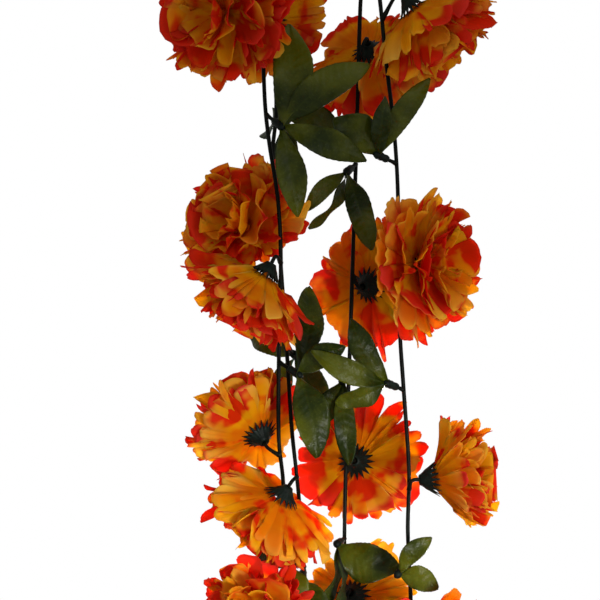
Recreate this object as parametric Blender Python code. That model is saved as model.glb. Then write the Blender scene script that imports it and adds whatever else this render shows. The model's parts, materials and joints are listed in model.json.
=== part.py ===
"""Marigold garland: one moulded vine, hung twice over a rail, with ruffled fabric blooms pushed
onto its side pegs in toothed plastic cups, and a spray of fabric leaves between each two blooms.

+Z is up, +X runs along the rail and -Y is the side seen from in front. The origin is on the crown
of the rail. The tables below are in millimetres; new_object turns them into metres.
"""

import itertools
import math
import random

import bpy
from mathutils import Vector
from mathutils.bvhtree import BVHTree

MM = 0.001
SEAT_GAP = 0.3
SHARP_EDGE = math.radians(40)

# The rail that the garland hangs on, and the vine that bends over it.
RAIL_D = 25.0
STEM_D = 2.9
STEM_SIDES = 6
PEG_SIDES = 5
BEND_R = RAIL_D / 2 + SEAT_GAP + STEM_D / 2
LONGEST_STEP = 30.0
SHARPEST_TURN = math.radians(24)
PEG_ROOT_R, PEG_TIP_R = 1.4, 1.3
PEG_ELBOW = 9.0
BEND_TURNS = tuple(step / 8 for step in range(9))

# The cup behind a bloom, as radius and height along the bloom's axis.
CUP_TEETH = 10
BOSS = (3.2, -4.5)
SOCKET_R, SOCKET_END = 2.1, -1.2
BELLY = (7.2, -0.4)
TOOTH_TIP = (10.6, 3.9)
TOOTH_ROOT = (8.6, 3.0)
BOWL = (6.4, 1.1)
BOWL_FLOOR = (3.2, 0.4)
PEG_IN_SOCKET = SOCKET_END - SEAT_GAP

# A bloom's layers, back to front: petals, outline points on each, then where the layer leaves
# the core, the point that its profile leans on, and its rim, each as radius and height. STUB is
# the core's foot in the cup.
STUB = (2.4, BOWL_FLOOR[1] + SEAT_GAP)
LAYERS = (
    (6, 4, (5.2, 4.2), (22.0, 4.5), (39.0, 15.0)),
    (5, 4, (4.7, 8.2), (20.0, 13.0), (34.0, 27.0)),
    (4, 3, (4.2, 12.6), (15.0, 20.0), (25.0, 35.0)),
    (3, 3, (3.6, 17.4), (9.0, 26.0), (14.0, 40.0)),
)
PETAL_T = 0.7
CORE_SIDES = 6
# How much higher a layer's rim stands, back to front, on a bloom that is still closed.
CLOSED_RISE = (13.0, 7.0, 3.0, 0.0)
# A petal's outline from its left root: turn within the petal, reach and lift at each corner.
PETAL_CORNERS = {
    4: ((0.0, 0.66, -1.4), (0.24, 1.0, 1.2), (0.5, 0.89, -0.4), (0.76, 0.98, 1.4)),
    3: ((0.0, 0.70, -1.0), (0.34, 1.0, 0.8), (0.68, 0.95, 0.2)),
}
MIDDLE_REACH, MIDDLE_LIFT = 0.5, 0.9
TURN_DRAW, LIFT_DRAW, SHORTER_DRAW = 0.05, 0.8, 0.07

# Petals stop short of the half-way plane to a neighbour and of a stem that passes.
BLOOM_CENTRE = 18.0
CLEARANCE, STEM_CLEARANCE = 2.0, 2.6
WALL_REACH, STEM_REACH = 96.0, 48.0
SHORTEST_PETAL, PETAL_STEP = 0.25, 0.05
SIDE_LOOK = 0.02

# A leaf, as shares of its length and width.
LEAF_T = 0.7
LEAF_STATIONS = ((0.20, 0.66), (0.48, 1.0), (0.78, 0.78))
LEAF_ROOT_W = 3.0
LEAF_ARCH, LEAF_FOLD, LEAF_WAVE = 0.10, 0.16, 0.05
LEAF_FACES = (0.12, -1.0, 0.10)
# What a leaf may do to find room: length kept, swing of its tip along Y and roll in degrees. The
# test leaves out the part near its root and makes the rest fatter.
LEAF_SIZES = (1.0, 0.9, 0.8, 0.7)
LEAF_SWINGS = (0, -6, 6, -12, 12, -18, 18, -26, 26, -34, 34)
LEAF_ROLLS = (0, 30, -30, 60, -60, 90)
TEST_START, TEST_SPARE = 0.2, 1.6
HUB_R, HUB_L = 3.4, 9.0
HUB_SOCKET_END = 0.0
LEAF_ROOT = 2.8

# The route of the vine, run by run, down from the rail: front left, back left, back right, front
# right. The first and the last end free; the two in the middle meet in a bend at the bottom.
ROUTE = {
    "a": (
        (-43.0, -17.0, -40.0), (-42.0, -19.0, -62.0), (-40.3, -20.0, -118.0), (-37.8, -20.0, -143.0),
        (-32.2, -20.0, -180.0), (-30.4, -20.0, -217.0), (-31.6, -18.0, -274.0),
        (-31.6, -17.0, -328.0), (-29.1, -8.0, -353.0), (-28.4, 7.0, -385.0), (-28.0, 9.0, -410.0),
        (-28.4, 2.0, -445.0), (-29.0, -2.0, -492.0),
    ),
    "b": (
        (-36.0, 17.0, -40.0), (-34.7, 19.0, -74.0), (-33.5, 20.0, -124.0), (-35.7, 20.0, -152.0),
        (-31.6, 18.0, -205.0), (-26.4, -6.0, -279.0), (-23.6, -14.0, -322.0), (-20.5, -16.0, -351.0),
        (-18.6, -2.0, -372.0), (-17.0, 14.0, -395.0), (-14.9, 20.0, -428.0), (-13.6, 20.0, -470.0),
    ),
    "c": (
        (21.0, 17.0, -40.0), (19.2, 19.0, -56.0), (16.7, 20.0, -143.0), (13.6, 20.0, -242.0),
        (9.9, 20.0, -353.0), (9.0, 20.0, -415.0), (9.4, 20.0, -470.0),
    ),
    "d": (
        (28.0, -17.0, -40.0), (30.4, -19.0, -56.0), (34.1, -20.0, -93.0), (39.1, -20.0, -136.0),
        (41.5, -20.0, -174.0), (42.8, -20.0, -260.0), (45.0, -20.0, -295.0), (48.4, -20.0, -347.0),
        (47.7, -20.0, -384.0), (49.6, -20.0, -428.0), (51.0, -20.0, -494.0),
    ),
}
FOLD_Z = -488.0

# Blooms: run, height of the peg's root, place of the cup, the way the bloom faces, how wide and
# how deep it is against the shape in LAYERS, and how far it is still closed.
BLOOMS = {
    "a1": ("a", -72.0, (-58.0, -27.0, -63.0), (-0.50, -0.82, -0.20), (1.20, 0.95, 0.00)),
    "a2": ("a", -218.0, (-38.0, -32.0, -223.0), (-0.49, 0.0, -0.87), (1.14, 1.12, 0.50)),
    "a3": ("a", -338.0, (-42.2, -9.0, -327.0), (-0.42, 0.62, 0.66), (1.10, 1.00, 0.00)),
    "a4": ("a", -448.0, (-41.0, -12.0, -438.0), (-0.40, -0.91, 0.10), (0.94, 1.00, 0.00)),
    "b1": ("b", -78.0, (-38.0, 31.0, -66.0), (-0.05, 0.99, 0.10), (1.00, 1.00, 0.00)),
    "b2": ("b", -206.0, (-46.0, 12.0, -199.0), (-0.52, -0.82, 0.22), (1.14, 0.95, 0.00)),
    "b3": ("b", -351.0, (-28.0, -23.0, -360.0), (-0.52, 0.28, -0.81), (1.16, 1.00, 0.20)),
    "b4": ("b", -462.0, (-22.0, 30.0, -468.0), (-0.45, 0.75, -0.50), (0.95, 1.00, 0.00)),
    "c1": ("c", -90.0, (24.8, 31.0, -84.0), (0.20, 0.72, -0.66), (1.15, 1.00, 0.00)),
    "c2": ("c", -227.0, (23.0, 30.0, -233.0), (0.52, 0.84, 0.12), (1.12, 1.00, 0.00)),
    "c3": ("c", -346.0, (16.1, 31.0, -343.0), (0.15, 0.97, -0.10), (1.00, 1.00, 0.00)),
    "c4": ("c", -434.0, (14.0, 31.0, -427.0), (0.25, 0.92, -0.30), (0.84, 1.00, 0.00)),
    "d1": ("d", -70.0, (48.5, -22.0, -59.0), (0.66, 0.12, -0.74), (1.18, 1.25, 0.30)),
    "d2": ("d", -222.0, (47.0, -29.0, -220.0), (0.68, -0.73, 0.04), (1.16, 0.98, 0.00)),
    "d3": ("d", -358.0, (59.0, -22.0, -352.0), (0.96, 0.16, 0.08), (0.90, 1.12, 1.00)),
    "d4": ("d", -450.0, (57.0, -27.0, -446.0), (0.35, -0.75, -0.56), (1.00, 1.00, 0.30)),
}

# Leaf sprays: run, height of the peg's root, place of the hub, then each leaf's tip and width.
SPRAYS = {
    "a1": ("a", -128.0, (-32.0, -28.0, -134.0), (
        ((-25.0, -32.0, -73.0), 24.0), ((24.0, -34.0, -98.0), 21.0),
        ((22.0, -38.0, -157.0), 18.0), ((-20.0, -36.0, -191.0), 18.0))),
    "a2": ("a", -280.0, (-22.0, -24.0, -286.0), (
        ((-14.0, 4.0, -234.0), 18.0), ((9.0, -34.0, -270.0), 15.0),
        ((-8.0, -38.0, -338.0), 22.0))),
    "a3": ("a", -400.0, (-24.0, 0.0, -405.0), (
        ((-44.0, 10.0, -395.0), 15.0), ((-26.0, -30.0, -436.0), 18.0))),
    "a4": ("a", -484.0, (-34.0, -8.0, -488.0), (
        ((-76.0, -14.0, -505.0), 20.0), ((-52.0, -18.0, -535.0), 20.0),
        ((-22.0, -22.0, -540.0), 18.0))),
    "b1": ("b", -122.0, (-28.0, 28.0, -127.0), (
        ((-36.0, 78.0, -132.0), 20.0), ((6.0, 34.0, -136.0), 18.0),
        ((-30.0, 44.0, -176.0), 18.0))),
    "b2": ("b", -272.0, (-22.0, 12.0, -276.0), (
        ((-50.0, 32.0, -266.0), 18.0), ((-8.0, 40.0, -306.0), 18.0),
        ((-30.0, 36.0, -312.0), 16.0))),
    "b3": ("b", -408.0, (-17.0, 8.0, -413.0), (
        ((4.0, -12.0, -440.0), 16.0), ((-22.0, 34.0, -440.0), 16.0))),
    "c1": ("c", -156.0, (11.8, 10.0, -161.0), (
        ((-15.5, 0.0, -187.0), 11.0), ((-14.0, 8.0, -197.0), 12.0),
        ((26.0, -2.0, -211.0), 16.0))),
    "c2": ("c", -286.0, (8.7, 10.0, -291.0), (
        ((11.8, -4.0, -344.0), 14.0), ((-20.0, 4.0, -322.0), 16.0))),
    "c3": ("c", -390.0, (5.6, 10.0, -393.0), (
        ((43.0, -2.0, -408.0), 25.0), ((-6.0, -6.0, -432.0), 12.0),
        ((4.0, -2.0, -438.0), 11.0))),
    "d1": ("d", -158.0, (31.6, -25.0, -154.0), (
        ((2.0, -30.0, -131.0), 22.0), ((61.0, -30.0, -106.0), 14.0),
        ((33.0, -36.0, -118.0), 12.0))),
    "d2": ("d", -297.0, (37.6, -25.0, -294.0), (
        ((12.4, -30.0, -253.0), 16.0), ((-12.0, -34.0, -273.0), 15.0),
        ((3.0, -30.0, -305.0), 15.0))),
    "d3": ("d", -403.0, (43.0, -27.0, -408.0), (
        ((62.0, -32.0, -387.0), 12.0), ((66.0, -34.0, -418.0), 15.0))),
    "d4": ("d", -486.0, (58.0, -23.0, -492.0), (
        ((92.0, -28.0, -512.0), 20.0), ((62.0, -34.0, -542.0), 20.0),
        ((34.0, -22.0, -536.0), 18.0))),
    "fold": ("fold", FOLD_Z, (-2.0, 22.0, -511.0), (
        ((-34.0, 30.0, -534.0), 18.0), ((-4.0, 36.0, -562.0), 20.0),
        ((32.0, 26.0, -532.0), 18.0))),
    "left_bend": ("left_bend", 0.0, (-39.5, 0.0, 13.0), (
        ((-82.0, -16.0, 30.0), 20.0), ((-44.0, 10.0, 62.0), 22.0),
        ((-6.0, -18.0, 36.0), 18.0))),
    "right_bend": ("right_bend", 0.0, (24.5, 0.0, 13.0), (
        ((66.0, -14.0, 32.0), 20.0), ((30.0, 12.0, 60.0), 22.0),
        ((-2.0, 20.0, 44.0), 18.0))),
}


# ---- meshes as lists of points and faces ------------------------------------------------------


def side_frame(axis):
    """Two unit directions across an axis, which turn from the first to the second about it."""
    level = Vector((0, 0, 1)) if abs(axis.z) < 0.9 else Vector((0, 1, 0))
    across = axis.cross(level).normalized()
    return across, axis.cross(across).normalized()


def even_turns(sides):
    return [side / sides for side in range(sides)]


def add_ring(points, place, turns, radius, height):
    """Adds a round ring of points and gives it back as (turn, point index) pairs."""
    ring = []
    for turn in turns:
        ring.append((turn, len(points)))
        points.append(place(turn, radius, height))
    return ring


def stitch(faces, first, second):
    """Triangles between two rings, which face out where the second is above the first."""
    count_1, count_2 = len(first), len(second)
    i = j = 0
    while i < count_1 or j < count_2:
        start, end = first[i % count_1][1], second[j % count_2][1]
        next_1 = first[(i + 1) % count_1][0] + (i + 1) // count_1
        next_2 = second[(j + 1) % count_2][0] + (j + 1) // count_2
        if j == count_2 or (i < count_1 and next_1 <= next_2):
            faces.append((start, first[(i + 1) % count_1][1], end))
            i += 1
        else:
            faces.append((start, second[(j + 1) % count_2][1], end))
            j += 1


def close_ring(faces, ring, first):
    """A fan over the first ring, facing down, or over the last one, facing up."""
    corners = [index for _, index in ring]
    for i in range(1, len(corners) - 1):
        face = (corners[0], corners[i], corners[i + 1])
        faces.append(face[::-1] if first else face)


def skin(points, rings):
    """One closed surface through the rings, which follow its profile from bottom to top."""
    faces = []
    close_ring(faces, rings[0], True)
    for first, second in zip(rings, rings[1:]):
        stitch(faces, first, second)
    close_ring(faces, rings[-1], False)
    return points, faces


def placer(origin, axis):
    across, over = side_frame(axis)

    def place(turn, radius, height):
        angle = math.tau * turn
        return origin + axis * height + (across * math.cos(angle) + over * math.sin(angle)) * radius

    return place


def new_object(name, shape, material):
    points, faces = shape
    mesh = bpy.data.meshes.new(name)
    mesh.from_pydata([tuple(point * MM) for point in points], [], faces)
    mesh.materials.append(material)
    thing = bpy.data.objects.new(name, mesh)
    bpy.context.scene.collection.objects.link(thing)
    return thing


def fuse(name, body, pieces, material, solver="EXACT"):
    """One solid, shaded smooth, of a body and the pieces that grow from it."""
    whole = new_object(name, body, material)
    group = bpy.data.collections.new(name + ".pieces")
    bpy.context.scene.collection.children.link(group)
    for shape in pieces:
        piece = new_object(name + ".piece", shape, material)
        bpy.context.scene.collection.objects.unlink(piece)
        group.objects.link(piece)
    union = whole.modifiers.new("union", "BOOLEAN")
    union.operand_type = "COLLECTION"
    union.operation = "UNION"
    union.solver = solver
    union.collection = group
    graph = bpy.context.evaluated_depsgraph_get()
    fused = bpy.data.meshes.new_from_object(whole.evaluated_get(graph))
    whole.modifiers.clear()
    whole.data = fused
    for piece in list(group.objects):
        bpy.data.objects.remove(piece, do_unlink=True)
    bpy.data.collections.remove(group)
    shade_smooth(whole)


def shade_smooth(thing):
    thing.data.shade_smooth()
    thing.data.set_sharp_from_angle(angle=SHARP_EDGE)


def finish(name, colour, roughness):
    """A plain material of one colour."""
    material = bpy.data.materials.new(name)
    material.use_nodes = True
    shader = material.node_tree.nodes["Principled BSDF"]
    shader.inputs["Base Color"].default_value = (*colour, 1)
    shader.inputs["Roughness"].default_value = roughness
    shader.inputs["Metallic"].default_value = 0.0
    return material


# ---- the vine ---------------------------------------------------------------------------------


def arc(centre, start, end, turns):
    """Points on a half circle: start and end are the arms from its centre, a quarter turn apart."""
    points = []
    for turn in turns:
        angle = math.pi * turn
        points.append(centre + start * math.cos(angle) + end * math.sin(angle))
    return points


def rail_bend(first, last):
    """The vine's way over the rail, from x = first to x = last, front to back."""
    points = arc(
        Vector((0, 0, -RAIL_D / 2)), Vector((0, -BEND_R, 0)), Vector((0, 0, BEND_R)), BEND_TURNS
    )
    for turn, point in zip(BEND_TURNS, points):
        point.x = first + (last - first) * turn
    return points


def smooth_route(corners):
    """A Catmull-Rom curve through the route's points, as a close row of points."""
    route = []
    for i in range(len(corners) - 1):
        before, start = corners[max(i - 1, 0)], corners[i]
        end, after = corners[i + 1], corners[min(i + 2, len(corners) - 1)]
        length = (end - start).length
        lean_1 = (end - before) * (length / max((start - before).length + length, 1e-6))
        lean_2 = (after - start) * (length / max((after - end).length + length, 1e-6))
        steps = max(2, round(length / 2))
        for step in range(steps):
            t = step / steps
            route.append(
                start * (2 * t**3 - 3 * t**2 + 1)
                + lean_1 * (t**3 - 2 * t**2 + t)
                + end * (3 * t**2 - 2 * t**3)
                + lean_2 * (t**3 - t**2)
            )
    route.append(corners[-1])
    return route


def vine_legs():
    """The vine from its first free end to its last, as named legs of points."""
    runs = {name: [Vector(corner) for corner in corners] for name, corners in ROUTE.items()}
    left, right = runs["b"][-1].x, runs["c"][-1].x
    middle = Vector(((left + right) / 2, runs["b"][-1].y, FOLD_Z))
    half = (right - left) / 2
    corners = {
        "a": runs["a"][::-1],
        "left_bend": rail_bend(runs["a"][0].x, runs["b"][0].x),
        "b": runs["b"],
        "fold": arc(middle, Vector((-half, 0, 0)), Vector((0, 0, -half)), BEND_TURNS),
        "c": runs["c"][::-1],
        "right_bend": rail_bend(runs["d"][0].x, runs["c"][0].x)[::-1],
        "d": runs["d"],
    }
    every, owners = [], []
    for name, points in corners.items():
        every += points
        owners += [name] * len(points)
    route = smooth_route(every)
    legs = {name: [] for name in corners}
    for point in route:
        nearest = min(range(len(every)), key=lambda i: (every[i] - point).length_squared)
        legs[owners[nearest]].append(point)
    return legs, route


def tube(route, radii, sides, rings_at):
    """A tube along some of a route's points, whose rings don't twist."""
    points, rings = [], []
    normal = None
    for i in rings_at:
        ahead = route[min(i + 1, len(route) - 1)] - route[max(i - 1, 0)]
        ahead.normalize()
        if normal is None:
            normal = side_frame(ahead)[0]
        normal = (normal - ahead * normal.dot(ahead)).normalized()
        over = ahead.cross(normal)
        ring = []
        for turn in even_turns(sides):
            angle = math.tau * turn
            ring.append((turn, len(points)))
            points.append(route[i] + (normal * math.cos(angle) + over * math.sin(angle)) * radii[i])
        rings.append(ring)
    return skin(points, rings)


def rings_along(route):
    """Where the vine's rings go: as far apart as its bends allow."""
    chosen, heading, walked = [0], None, 0.0
    for i in range(1, len(route) - 1):
        step = route[i] - route[i - 1]
        walked += step.length
        heading = heading or step
        if walked > LONGEST_STEP or heading.angle(step) > SHARPEST_TURN:
            chosen.append(i)
            heading, walked = step, 0.0
    return chosen + [len(route) - 1]


def root_on(legs, leg, height):
    """The point of a leg at a height, or its end of travel where it bends."""
    if leg == "fold":
        return min(legs[leg], key=lambda point: point.z)
    if leg.endswith("bend"):
        return max(legs[leg], key=lambda point: point.z)
    return min(legs[leg], key=lambda point: abs(point.z - height))


def peg(*route):
    """A side peg through the points of its route, from the middle of the vine to its tip."""
    radii = [PEG_ROOT_R] + [PEG_TIP_R] * (len(route) - 1)
    return tube(route, radii, PEG_SIDES, range(len(route)))


# ---- cups and blooms --------------------------------------------------------------------------


def cup_shape(origin, facing):
    """A toothed cup with a socket behind for its peg and a bowl in front for its bloom."""
    place = placer(origin, facing)
    points = []
    hexagon, round_turns = even_turns(STEM_SIDES), even_turns(CUP_TEETH)
    rim = []
    for tooth in range(CUP_TEETH):
        rim += add_ring(points, place, [tooth / CUP_TEETH], *TOOTH_TIP)
        rim += add_ring(points, place, [(tooth + 0.5) / CUP_TEETH], *TOOTH_ROOT)
    rings = [
        add_ring(points, place, hexagon, SOCKET_R, SOCKET_END),
        add_ring(points, place, hexagon, SOCKET_R, BOSS[1]),
        add_ring(points, place, hexagon, *BOSS),
        add_ring(points, place, round_turns, *BELLY),
        rim,
        add_ring(points, place, round_turns, *BOWL),
        add_ring(points, place, hexagon, *BOWL_FLOOR),
    ]
    return skin(points, rings)


def layer_profile(layer, size, t, lift):
    """Radius and height at a share t of the way from the core to the rim of a layer."""
    _, _, start, lean, end = layer
    spread, depth, closed = size
    radius, height = (
        (1 - t) ** 2 * start[k] + 2 * t * (1 - t) * lean[k] + t**2 * end[k] for k in range(2)
    )
    radius = start[0] + (radius - start[0]) * spread
    rise = closed * CLOSED_RISE[LAYERS.index(layer)] * t * (2 - t)
    height = start[1] + (height - start[1]) * depth + rise
    return radius, height + lift * t


def petal_reach(place, layer, size, turn, walls, stems):
    """The share of a petal's length that stays behind every wall and clear of every stem."""
    share = SHORTEST_PETAL
    while share < 1.0:
        radius, height = layer_profile(layer, size, share + PETAL_STEP, 0.0)
        for near in (-SIDE_LOOK, 0.0, SIDE_LOOK):
            tip = place(turn + near, radius, height)
            if any((tip - wall).dot(normal) > 0 for wall, normal in walls):
                return share
            if any((tip - stem).length < STEM_D / 2 + STEM_CLEARANCE for stem in stems):
                return share
        share += PETAL_STEP
    return share


def bloom_shape(origin, facing, size, walls, stems, seed):
    """A bloom of ruffled layers on a core, as one surface that goes out and back on each."""
    draw = random.Random(seed)
    place = placer(origin, facing)
    points = []
    rings = [add_ring(points, place, even_turns(CORE_SIDES), *STUB)]
    for layer in LAYERS:
        petals, corners, start, lean, end = layer
        slope = math.atan2((end[1] - lean[1]) * size[1], (end[0] - lean[0]) * size[0])
        thick = facing * (PETAL_T / math.cos(slope))
        offset = draw.uniform(0.1, 0.9) / petals
        middle, outline = [], []
        for petal in range(petals):
            for half, lift in ((0.0, -MIDDLE_LIFT), (0.5, MIDDLE_LIFT)):
                turn = (petal + half) / petals + offset
                reach = MIDDLE_REACH * petal_reach(place, layer, size, turn, walls, stems)
                profile = layer_profile(layer, size, reach, lift)
                middle += add_ring(points, place, [turn], *profile)
            for inset, length, lift in PETAL_CORNERS[corners]:
                turn = (petal + inset + draw.uniform(-TURN_DRAW, TURN_DRAW)) / petals + offset
                length *= petal_reach(place, layer, size, turn, walls, stems)
                length *= 1 - draw.uniform(0, SHORTER_DRAW)
                lift += draw.uniform(-LIFT_DRAW, LIFT_DRAW)
                profile = layer_profile(layer, size, length, lift)
                outline += add_ring(points, place, [turn], *profile)
        back = [add_ring(points, place, even_turns(CORE_SIDES), *start), middle, outline]
        front = []
        for ring in reversed(back):
            copy = []
            for turn, index in ring:
                copy.append((turn, len(points)))
                points.append(points[index] + thick)
            front.append(copy)
        rings += back + front
    return skin(points, rings)


def bloom_walls(name, centres):
    """Flat walls half way to each neighbour of a bloom, each with its outward direction."""
    walls = []
    for other, place in centres.items():
        gap = place - centres[name]
        if other != name and gap.length < WALL_REACH:
            normal = gap.normalized()
            walls.append((centres[name] + gap / 2 - normal * CLEARANCE, normal))
    return walls


# ---- leaves -----------------------------------------------------------------------------------


def hub_shape(origin, axis):
    """A short hub with a socket behind for its peg."""
    place = placer(origin, axis)
    points = []
    turns = even_turns(STEM_SIDES)
    rings = [
        add_ring(points, place, turns, SOCKET_R, HUB_SOCKET_END),
        add_ring(points, place, turns, SOCKET_R, -HUB_L / 2),
        add_ring(points, place, turns, HUB_R, -HUB_L / 2),
        add_ring(points, place, turns, HUB_R, HUB_L / 2),
    ]
    return skin(points, rings)


def leaf_shape(root, tip, width, roll, start=0.0, spare=0.0):
    """An arched, folded and waved blade of even thickness. start cuts off the part near the root
    and spare makes it fatter, for testing what is near."""
    along = tip - root
    length = along.length
    along.normalize()
    flat = Vector(LEAF_FACES)
    flat = (flat - along * flat.dot(along)).normalized()
    face = flat * math.cos(roll) + along.cross(flat) * math.sin(roll)
    side = face.cross(along)

    def at(share, half_width, wave):
        centre = root + along * (length * share)
        centre += face * (length * LEAF_ARCH * 4 * share * (1 - share) - spare / 2)
        lift = abs(half_width) * LEAF_FOLD + wave * width
        return centre + side * half_width + face * (lift if half_width else 0.0)

    left, spine, right = [], [], []
    for number, (share, size) in enumerate(LEAF_STATIONS):
        share = start + (1 - start) * share
        half = (width * size + spare) / 2
        wave = LEAF_WAVE if number % 2 else -LEAF_WAVE
        left.append(at(share, half, wave))
        spine.append(at(share, 0.0, 0.0))
        right.append(at(share, -half, -wave))
    roots = [at(start, LEAF_ROOT_W / 2, 0.0), at(start, -LEAF_ROOT_W / 2, 0.0)]
    front = roots + left + spine + right + [at(1.0, 0.0, 0.0)]
    root_1, root_2, end = 0, 1, len(front) - 1
    left, spine, right = (2, 3, 4), (5, 6, 7), (8, 9, 10)
    upper = [
        (root_1, spine[0], left[0]), (root_1, root_2, spine[0]), (root_2, right[0], spine[0])
    ]
    for i in range(2):
        upper += [(left[i], spine[i], spine[i + 1]), (left[i], spine[i + 1], left[i + 1])]
        upper += [(spine[i], right[i], right[i + 1]), (spine[i], right[i + 1], spine[i + 1])]
    upper += [(left[2], spine[2], end), (spine[2], right[2], end)]
    count = len(front)
    depth = face * (LEAF_T + spare)
    points = [point + depth for point in front] + front
    faces = upper + [tuple(index + count for index in reversed(tri)) for tri in upper]
    edge = (root_1, root_2, *right, end, *reversed(left))
    for first, second in zip(edge, edge[1:] + edge[:1]):
        faces.append((second, first, first + count))
        faces.append((second, first + count, second + count))
    return points, faces


def clear_leaf(root, tip, width, solids):
    """The leaf nearest to the wanted one that touches nothing: it may swing, roll or be shorter."""
    for size, swing, roll in itertools.product(LEAF_SIZES, LEAF_SWINGS, LEAF_ROLLS):
        aim = root + (tip + Vector((0, swing, 0)) - root) * size
        turned = math.radians(roll)
        fat = leaf_shape(root, aim, width * size, turned, TEST_START, TEST_SPARE)
        tree = BVHTree.FromPolygons(*fat)
        if not any(tree.overlap(solid) for solid in solids):
            return leaf_shape(root, aim, width * size, turned)
    raise ValueError(f"no room for the leaf at {tip}")


# ---- the garland ------------------------------------------------------------------------------


def build():
    for thing in list(bpy.data.objects):
        bpy.data.objects.remove(thing, do_unlink=True)
    stem_plastic = finish("vine_plastic", (0.012, 0.020, 0.012), 0.45)
    cup_plastic = finish("cup_plastic", (0.016, 0.028, 0.016), 0.5)
    petal_cloth = finish("petal_cloth", (0.80, 0.22, 0.02), 0.85)
    leaf_cloth = finish("leaf_cloth", (0.045, 0.085, 0.012), 0.65)

    legs, route = vine_legs()
    pegs, solids = [], []
    facings, centres, hubs, hub_axes = {}, {}, {}, {}
    for name, (leg, height, cup, facing, _) in BLOOMS.items():
        origin, axis = Vector(cup), Vector(facing).normalized()
        facings[name] = axis
        centres[name] = origin + axis * BLOOM_CENTRE
        tip = origin + axis * PEG_IN_SOCKET
        pegs.append(peg(root_on(legs, leg, height), origin - axis * PEG_ELBOW, tip))
    for name, (leg, height, place, _) in SPRAYS.items():
        root = root_on(legs, leg, height)
        axis = (Vector(place) - root).normalized()
        hub_axes[name] = axis
        hubs[name] = hub_shape(Vector(place), axis)
        pegs.append(peg(root, Vector(place) + axis * (HUB_SOCKET_END - SEAT_GAP)))

    for seed, (name, (_, _, cup, _, size)) in enumerate(BLOOMS.items()):
        shapes = {"cup_": cup_shape(Vector(cup), facings[name])}
        walls = bloom_walls(name, centres)
        stems = [point for point in route if (point - centres[name]).length < STEM_REACH]
        shapes["bloom_"] = bloom_shape(Vector(cup), facings[name], size, walls, stems, seed)
        for kind, cloth in (("cup_", cup_plastic), ("bloom_", petal_cloth)):
            shade_smooth(new_object(kind + name, shapes[kind], cloth))
            solids.append(BVHTree.FromPolygons(*shapes[kind]))

    stem = tube(route, [STEM_D / 2] * len(route), STEM_SIDES, rings_along(route))
    solids += [BVHTree.FromPolygons(*shape) for shape in [stem] + pegs]
    fuse("vine", stem, pegs, stem_plastic, "MANIFOLD")

    hub_trees = {name: BVHTree.FromPolygons(*shape) for name, shape in hubs.items()}
    for name, (_, _, place, leaves) in SPRAYS.items():
        root = Vector(place) + hub_axes[name] * LEAF_ROOT
        others = [tree for other, tree in hub_trees.items() if other != name]
        blades = []
        for tip, width in leaves:
            blades.append(clear_leaf(root, Vector(tip), width, solids + others))
            solids.append(BVHTree.FromPolygons(*blades[-1]))
        fuse("leaf_spray_" + name, hubs[name], blades, leaf_cloth)


build()
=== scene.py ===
# %% [markdown]
# # An artificial marigold garland
# The real thing is a moulded plastic vine, hung double over a rail. Blooms of ruffled polyester
# cloth sit in toothed plastic cups on its side pegs, with sprays of coated cloth leaves between
# them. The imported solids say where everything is, and this script gives each one its true surface.

import json
import math

import bpy
import numpy as np
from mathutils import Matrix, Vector

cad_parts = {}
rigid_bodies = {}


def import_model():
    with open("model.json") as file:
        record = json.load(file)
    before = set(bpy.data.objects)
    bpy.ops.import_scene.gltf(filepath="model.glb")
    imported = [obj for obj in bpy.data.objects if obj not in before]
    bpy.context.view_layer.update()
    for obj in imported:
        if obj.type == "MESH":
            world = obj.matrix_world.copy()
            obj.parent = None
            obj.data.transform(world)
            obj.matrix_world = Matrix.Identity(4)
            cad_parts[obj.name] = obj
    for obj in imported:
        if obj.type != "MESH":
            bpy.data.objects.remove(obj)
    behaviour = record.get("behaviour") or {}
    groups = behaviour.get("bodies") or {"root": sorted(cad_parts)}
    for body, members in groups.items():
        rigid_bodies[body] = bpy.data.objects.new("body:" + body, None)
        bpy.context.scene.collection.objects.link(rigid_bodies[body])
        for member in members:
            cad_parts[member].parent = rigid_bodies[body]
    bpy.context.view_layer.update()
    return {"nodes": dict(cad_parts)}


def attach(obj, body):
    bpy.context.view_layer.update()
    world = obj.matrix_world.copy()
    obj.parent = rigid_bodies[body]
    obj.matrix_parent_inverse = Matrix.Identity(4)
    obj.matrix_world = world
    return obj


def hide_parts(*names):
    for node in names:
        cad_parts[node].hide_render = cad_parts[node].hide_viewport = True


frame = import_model()


# %% [markdown]
# Everything is worked out in millimetres as rows of points in numpy, because the cloth needs some
# hundred thousand of them, and becomes metres only when it is made into an object. A thin sheet, a
# stem and a cup are all grids of points, so a few helpers serve every piece.

# %% Grids of points and their faces
MM = 0.001


def unit(vectors):
    """The same directions with a length of 1."""
    vectors = np.asarray(vectors, float)
    return vectors / np.maximum(np.linalg.norm(vectors, axis=-1, keepdims=True), 1e-9)


def soft_step(low, high, value):
    """0 up to low, 1 from high on, and a smooth rise between."""
    share = np.clip((np.asarray(value, float) - low) / (high - low), 0, 1)
    return share * share * (3 - 2 * share)


def grid_faces(rows, columns, closed=False):
    """The faces of a grid of points, row by row; closed joins its last column to its first."""
    i, j = np.mgrid[0 : rows - 1, 0 : columns if closed else columns - 1]
    k = (j + 1) % columns
    corners = (i * columns + j, i * columns + k, (i + 1) * columns + k, (i + 1) * columns + j)
    return np.stack(corners, -1).reshape(-1, 4)


def join(shapes):
    """One shape from several: points, faces and any values kept per point."""
    points, faces, values, count = [], [], {}, 0
    for shape in shapes:
        points.append(shape[0])
        faces += [tuple(int(corner) + count for corner in face) for face in shape[1]]
        count += len(shape[0])
        for name, value in shape[2].items():
            values.setdefault(name, []).append(value)
    return np.concatenate(points), faces, {k: np.concatenate(v) for k, v in values.items()}


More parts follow.
